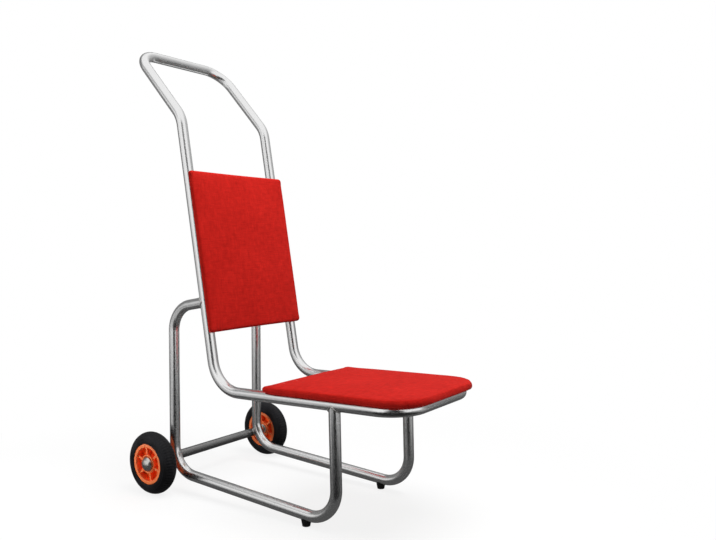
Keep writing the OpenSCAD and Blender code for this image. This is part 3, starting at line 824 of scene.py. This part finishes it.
def remeshed(mesh):
    blank = object_of("blank", mesh)
    remesh = blank.modifiers.new("remesh", "REMESH")
    remesh.mode, remesh.voxel_size = "VOXEL", VOXEL
    even = evaluated_mesh(blank)
    bpy.data.objects.remove(blank)
    for vert in even.vertices:
        x, y = vert.co.x, vert.co.y
        share_x = math.sin(math.pi * min(1, max(0, x / PAD_L)))
        share_y = math.cos(math.pi * min(0.5, max(-0.5, y / PAD_W)))
        vert.co.y -= DRAW_IN * share_x * (2 * y / PAD_W) ** DRAW_POWER
        vert.co.x -= DRAW_IN * share_y * (2 * x / PAD_L - 1) ** DRAW_POWER
    return even


print("voxel size", VOXEL)

# %% Fill it with a cloth simulation
PRESSURE = 4
STRETCH = 40
BENDING = 5
LAST_FRAME = 20
MOVE_CAP = 3.6 * MM


def filled(mesh):
    rest = [vert.co.copy() for vert in mesh.vertices]
    pad = object_of("filling", mesh)
    held = pad.vertex_groups.new(name="held")
    held.add([i for i, co in enumerate(rest) if co.z < HEM_ROLL_R], 1.0, "ADD")
    cloth = pad.modifiers.new("cloth", "CLOTH")
    cloth.settings.vertex_group_mass = "held"
    cloth.settings.use_pressure = True
    cloth.settings.uniform_pressure_force = PRESSURE
    cloth.settings.effector_weights.gravity = 0
    cloth.settings.tension_stiffness = cloth.settings.compression_stiffness = STRETCH
    cloth.settings.shear_stiffness = STRETCH
    cloth.settings.bending_stiffness = BENDING
    cloth.point_cache.frame_end = LAST_FRAME
    for number in range(1, LAST_FRAME + 1):
        scene.frame_set(number)
    blown = evaluated_mesh(pad)
    scene.frame_set(1)
    bpy.data.objects.remove(pad)
    largest = max((vert.co - start).length for vert, start in zip(blown.vertices, rest))
    for vert, start in zip(blown.vertices, rest):
        vert.co = start.lerp(vert.co, min(1, MOVE_CAP / largest))
    print("largest move", round(largest, 4), "m, kept to", MOVE_CAP)
    return blown


print("pressure", PRESSURE, "cap", MOVE_CAP)

# %% [markdown]
# The edge of the seat cover sags past the tubes at the sides and the front. A share that
# eases from 0 to 1 moves its lower edge down, which is simpler than a second simulation. The
# flat cloth coordinate of a spot is found by folding the sides of the pad out.

# %% Sag and flat cloth
DROOP, DROOP_W, DROOP_START = 5.5 * MM, 10 * MM, 40 * MM


def eased(share):
    """Goes smoothly from 0 to 1."""
    share = min(1, max(0, share))
    return share * share * (3 - 2 * share)


def cloth_place(co):
    """Where this spot lies on the flat cloth: the sides are folded out."""
    drop, half_w = max(0, PAD_EDGE_H - co.z), PAD_W / 2
    ends = {(-1, 0): co.x, (1, 0): PAD_L - co.x, (0, -1): half_w + co.y, (0, 1): half_w - co.y}
    way = min(ends, key=ends.get)
    return Vector((co.x + way[0] * drop, co.y + way[1] * drop, 0))


def drooped(bm, front_r):
    """Lets the edge of the pad sag past the tubes that it rests on, but not at its rear."""
    for vert in bm.verts:
        x, y = vert.co.x, abs(vert.co.y)
        inside = min(PAD_L - x, PAD_W / 2 - y)
        past_x, past_y = x - PAD_L + front_r, y - PAD_W / 2 + front_r
        if past_x > 0 and past_y > 0:
            inside = front_r - math.hypot(past_x, past_y)
        near_edge, off_rear = eased(1 - inside / DROOP_W), eased(x / DROOP_START)
        vert.co.z -= DROOP * near_edge * off_rear * eased(1 - vert.co.z / PAD_EDGE_H)


print("seat cover sags by", DROOP)

# %% [markdown]
# Each cover is open below: it turns in under the board by two centimetres and ends there in
# a straight cut edge. So the underside of the pad is cut along the lines of that edge, and
# the middle is removed. Round the front corners of the seat, short cuts follow the curve.

# %% Hem
HEM_W = 20 * MM
FABRIC_T = 1 * MM
CUT_TOLERANCE = 0.001 * MM
CORNER_CUTS = [math.radians(angle) for angle in (15, 30, 45, 60, 75)]


def hem_lines(front_r):
    """The cuts round the opening: a point on each, and the way out over the hem."""
    half_w = PAD_W / 2
    ends = ((HEM_W, -1), (PAD_L - HEM_W, 1))
    lines = [(Vector((x, 0, 0)), Vector((way, 0, 0))) for x, way in ends]
    for side in (-1, 1):
        lines.append((Vector((0, side * (half_w - HEM_W), 0)), Vector((0, side, 0))))
        if front_r > HEM_W:
            centre = Vector((PAD_L - front_r, side * (half_w - front_r), 0))
            for angle in CORNER_CUTS:
                out = Vector((math.cos(angle), side * math.sin(angle), 0))
                lines.append((centre + (front_r - HEM_W) * out, out))
    return lines


def hemmed(bm, lines):
    """Cuts the underside open inside the hem."""
    for point, out in lines:
        below = [face for face in bm.faces if face.calc_center_median().z < FABRIC_T]
        around = list(dict.fromkeys(item for face in below for item in (*face.verts, *face.edges)))
        bmesh.ops.bisect_plane(bm, geom=below + around, dist=CUT_TOLERANCE,
                               plane_co=point, plane_no=out)
    inside = []
    for face in bm.faces:
        co = face.calc_center_median()
        if co.z < FABRIC_T and all((co - point).dot(out) < 0 for point, out in lines):
            inside.append(face)
    bmesh.ops.delete(bm, geom=inside, context="FACES")


print("hem", HEM_W, "wide")

# %% [markdown]
# Now a cover can be made from the slab on. The filled pad is smoothed on top, divided once
# more and hemmed, and the seat's is sagged. Solidify then gives it the thickness of fabric.

# %% Finish a cover
FLATTEN_ROUNDS = 4
FACES_UP = 0.9


def padded_cover(name, front_r, sags, place, *stands_for):
    mesh = remeshed(slab(front_r))
    mesh = filled(mesh)
    bm = bmesh.new()
    bm.from_mesh(mesh)
    bpy.data.meshes.remove(mesh)
    bm.normal_update()
    above = [vert for vert in bm.verts if vert.normal.z > FACES_UP]
    for _ in range(FLATTEN_ROUNDS):
        bmesh.ops.smooth_vert(bm, verts=above, factor=0.5, use_axis_z=True)
    bmesh.ops.subdivide_edges(bm, edges=bm.edges, cuts=1, use_grid_fill=True, smooth=1.0)
    hemmed(bm, hem_lines(front_r))
    if sags:
        drooped(bm, front_r)
    layer = bm.verts.layers.float_vector.new("cloth")
    for vert in bm.verts:
        vert[layer] = cloth_place(vert.co)
    bmesh.ops.transform(bm, matrix=place, verts=bm.verts)
    cover = new_piece(name, bm, fabric)
    wall = cover.modifiers.new("fabric", "SOLIDIFY")
    wall.thickness, wall.offset = FABRIC_T, -1
    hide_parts(*stands_for)


padded_cover("seat_pad_cover", SEAT_FRONT_R, True, seat_frame, "seat_cover", "seat_foam")
padded_cover("back_pad_cover", PAD_CORNER_R, False, back_frame, "back_cover", "back_foam")

# %% [markdown]
# ## Staples and tab welds
# Below the pads, a row of wire staples holds the hem along the front and rear edge of each
# board, and a short bead joins each fixing tab to its tube. They show from behind and below.
# A staple is a thin bar with rounded edges, and each one leans a little its own way.

# %% Staples
STAPLE_L, STAPLE_W, STAPLE_H = 10 * MM, 1.2 * MM, 0.7 * MM
STAPLE_ROUND, STAPLE_SINK = 0.25 * MM, 0.2 * MM
STAPLE_LEAN, LEAN_STEP = math.radians(4), 2.3
STAPLE_INSET = 11 * MM
STAPLE_PITCH = 24 * MM
STAPLE_COUNT = 9


def staple_row(bm, x, place):
    for i in range(STAPLE_COUNT):
        y = (i - (STAPLE_COUNT - 1) / 2) * STAPLE_PITCH
        lean = Matrix.Rotation(STAPLE_LEAN * math.sin(LEAN_STEP * i), 4, "Z")
        spot = place @ Matrix.Translation((x, y, -STAPLE_SINK)) @ lean
        size = Matrix.Diagonal((STAPLE_W, STAPLE_L, STAPLE_H, 1))
        verts = bmesh.ops.create_cube(bm, size=1, matrix=spot @ size)["verts"]
        bmesh.ops.bevel(bm, geom=joining_edges(verts), offset=STAPLE_ROUND, offset_type="OFFSET",
                        affect="EDGES", segments=2, profile=0.5, material=-1)


for word, place in (("seat", seat_frame), ("back", back_frame)):
    bm = bmesh.new()
    for x in (STAPLE_INSET, PAD_L - STAPLE_INSET):
        staple_row(bm, x, place)
    new_piece(f"{word}_staples", bm, zinc)

# %% Beads of the tabs
TAB_PLACES = [(seat_frame, (95 * MM, 248.2 * MM)), (back_frame, (95 * MM, 265 * MM))]
TAB_HALF_W = 14 * MM
TAB_BEAD_R = 1.5 * MM
TAB_BEAD_POINTS = 33
TAB_BEAD_Y, TAB_BEAD_Z = side_y - 8.7 * MM, -3.7 * MM


def tab_line(place, x, side):
    points = []
    for i in range(TAB_BEAD_POINTS):
        along = x + TAB_HALF_W * (2 * i / (TAB_BEAD_POINTS - 1) - 1)
        points.append(place @ Vector((along, side * TAB_BEAD_Y, TAB_BEAD_Z)))
    return points


tab_beads = [(tab_line(place, x, side), False, TAB_BEAD_R)
             for place, spots in TAB_PLACES for x in spots for side in (-1, 1)]
joined_beads("tab_welds", tab_beads)

# %% [markdown]
# ## Floor
# The trolley stands on a plain pale floor that runs out into white. For the camera and for
# reflections, the floor near the trolley is pale and takes its soft shadow, and further out
# it glows softly at full white. Light that bounces up from it is kept low.

# %% Pale floor
FLOOR_HALF = 9.0
FLOOR_GREY, BOUNCE_GREY = 0.93, 0.4
SHADOW_R, WHITE_R = 0.4, 1.1
GLOW_SHARE, NEAR_GLOW = 0.78, 1.08


def seen_directly(tree):
    """1 for what the camera, a mirror or glass looks at, and 0 for bounced light."""
    rays = ("Is Camera Ray", "Is Glossy Ray", "Is Transmission Ray")
    viewed, mirrored, through = (tree.node("ShaderNodeLightPath", output=ray) for ray in rays)
    return (viewed + mirrored + through).clamped()


def floor_finish():
    floor = Finish("pale_floor")
    out = floor.nodes["Material Output"]
    distance = floor.node("ShaderNodeVectorMath", {"operation": "LENGTH"},
                          {0: floor.place()}, output="Value")
    fade = floor.node("ShaderNodeMapRange", {"interpolation_type": "SMOOTHSTEP"},
                      {"Value": distance, "From Min": SHADOW_R, "From Max": WHITE_R})
    matt = floor.node("ShaderNodeBsdfDiffuse", {}, {"Color": grey(FLOOR_GREY)})
    glow = floor.node("ShaderNodeEmission", {}, {"Color": grey(1.0), "Strength": NEAR_GLOW})
    near = floor.node("ShaderNodeMixShader", {}, {0: GLOW_SHARE, 1: matt, 2: glow})
    far = floor.node("ShaderNodeEmission", {}, {"Color": grey(1.0), "Strength": 1.0})
    dim = floor.node("ShaderNodeBsdfDiffuse", {}, {"Color": grey(BOUNCE_GREY)})
    shown = floor.node("ShaderNodeMixShader", {}, {0: fade, 1: near, 2: far})
    both = floor.node("ShaderNodeMixShader", {}, {0: seen_directly(floor), 1: dim, 2: shown})
    floor.links.new(both.socket, out.inputs["Surface"])
    return floor.material


bm = bmesh.new()
bmesh.ops.create_grid(bm, x_segments=1, y_segments=1, size=FLOOR_HALF)
mesh = mesh_of("floor", bm)
mesh.materials.append(floor_finish())
floor = object_of("floor", mesh)
print("floor half width", FLOOR_HALF)

# %% [markdown]
# ## World and lamps
# One big soft box hangs above the front of the trolley. Two small ones stand low beside the
# wheels, so that the hubs don't sink into shade, and the one on the camera's side is the
# stronger. The steel would mirror a lamp as a hard patch, so reflections don't see them. The
# world is white where the camera or a reflection looks at it and much dimmer as a light.

# %% White world
AMBIENT = 0.22

world = bpy.data.worlds.new("studio")
scene.world = world
world.use_nodes = True
sky = Tree(world.node_tree)
dim = sky.node("ShaderNodeBackground", {}, {"Color": grey(1.0), "Strength": AMBIENT})
white = sky.node("ShaderNodeBackground", {}, {"Color": grey(1.0), "Strength": 1.0})
shown = sky.node("ShaderNodeMixShader", {}, {0: seen_directly(sky), 1: dim, 2: white})
sky.links.new(shown.socket, sky.nodes["World Output"].inputs["Surface"])
scene.view_settings.view_transform = "Standard"
print("ambient", AMBIENT)

# %% Soft boxes
AIM = Vector((0, 0, 0.45))


def soft_box(name, place, width, height, power):
    light = bpy.data.lights.new(name, "AREA")
    light.shape = "RECTANGLE"
    light.size, light.size_y, light.energy = width, height, power
    lamp = bpy.data.objects.new(name, light)
    lamp.location = place
    lamp.rotation_euler = (AIM - Vector(place)).to_track_quat("-Z", "Y").to_euler()
    lamp.visible_glossy = lamp.visible_camera = False
    scene.collection.objects.link(lamp)
    print(name, power, "W")


soft_box("overhead_box", (0.55, 0.15, 2.0), 1.2, 1.2, 27)
soft_box("near_wheel_box", (-0.75, -0.65, 0.12), 0.45, 0.45, 4.6)
soft_box("far_wheel_box", (-0.75, 0.65, 0.12), 0.45, 0.45, 1.0)

# %% [markdown]
# Bare steel shows its surroundings, and in an all-white room it would look like paint. In
# the studio, the dark space round the camera draws a streak down the middle of each tube,
# and grey walls behind the trolley shade the edges of the tubes. Low tubes look down at the
# floor, so some boards lie there, and two of the standing ones grow paler upwards. Only
# reflections see these boards. Left and right in their names are as the camera sees them.

# %% Boards that the steel reflects
BOARD_R = 3.3
BOARD_Z = 1.2
BOARD_H = 3.2


def board(name, tall, wide, level, place, top_level=None):
    """One board, of an even grey or of a grey that changes from its lower to its upper edge."""
    bm = bmesh.new()
    bmesh.ops.create_grid(bm, x_segments=1, y_segments=1, size=0.5)
    bmesh.ops.scale(bm, verts=bm.verts, vec=(tall, wide, 1))
    bmesh.ops.transform(bm, matrix=place, verts=bm.verts)
    mesh = mesh_of(name, bm)
    finish = Finish(name)
    tone = grey(level)
    if top_level is not None:
        foot = place.translation.z - 0.5 * tall
        height = (finish.axis(finish.place(), "Z") - foot) * (1 / tall)
        tone = finish.mixed(height, grey(level), grey(top_level))
    glow = finish.node("ShaderNodeEmission", {}, {"Color": tone, "Strength": 1.0})
    finish.links.new(glow.socket, finish.nodes["Material Output"].inputs["Surface"])
    mesh.materials.append(finish.material)
    card = object_of(name, mesh)
    card.visible_camera = card.visible_diffuse = card.visible_shadow = False
    card.visible_transmission = card.visible_volume_scatter = False
    print(name, level)


def standing(azimuth, distance=BOARD_R, middle=BOARD_Z):
    """Upright, facing the trolley from this side."""
    turn = Matrix.Rotation(math.radians(azimuth), 4, "Z")
    raised = Matrix.Rotation(math.radians(90), 4, "Y")
    return turn @ Matrix.Translation((distance, 0, middle)) @ raised


def lying(x, y, lift, azimuth=0):
    """Flat, a little above the floor."""
    return Matrix.Translation((x, y, lift)) @ Matrix.Rotation(math.radians(azimuth), 4, "Z")


board("dark_camera_board", BOARD_H, 1.9, 0.03, standing(-52))
board("dark_low_board", 1.2, 3.0, 0.02, standing(-50, BOARD_R - 0.1, 0.5))
board("pale_left_board", 2.2, 2.0, 0.3, standing(-130, BOARD_R, 0.7), 1.1)
board("grey_high_left_board", 1.4, 2.0, 0.5, standing(-130, BOARD_R, 2.5))
board("grey_right_board", 6.0, 7.0, 0.12, standing(75, BOARD_R, 2.6), 0.95)
board("grey_rear_board", 5.0, 7.0, 0.22, standing(168, BOARD_R, 2.1))
board("grey_near_floor", 1.9, 1.4, 0.09, lying(-0.1, 0.15, 0.001))
board("pale_left_floor", 1.5, 2.2, 0.5, lying(-0.7, -1.65, 0.001))
board("grey_front_floor", 1.8, 1.0, 0.3, lying(1.6, 0.15, 0.002))
board("grey_rear_floor", 2.0, 3.0, 0.22, lying(-2.0, -0.3, 0.002))
board("grey_far_floor", 3.2, 2.0, 0.15, lying(1.0, 1.75, 0.002))
board("dark_rear_floor", 4.0, 4.0, 0.08, lying(-3.0, 2.6, 0.001))
board("dark_camera_floor", 2.6, 1.6, 0.02, lying(1.07, -1.3, 0.003, -45))
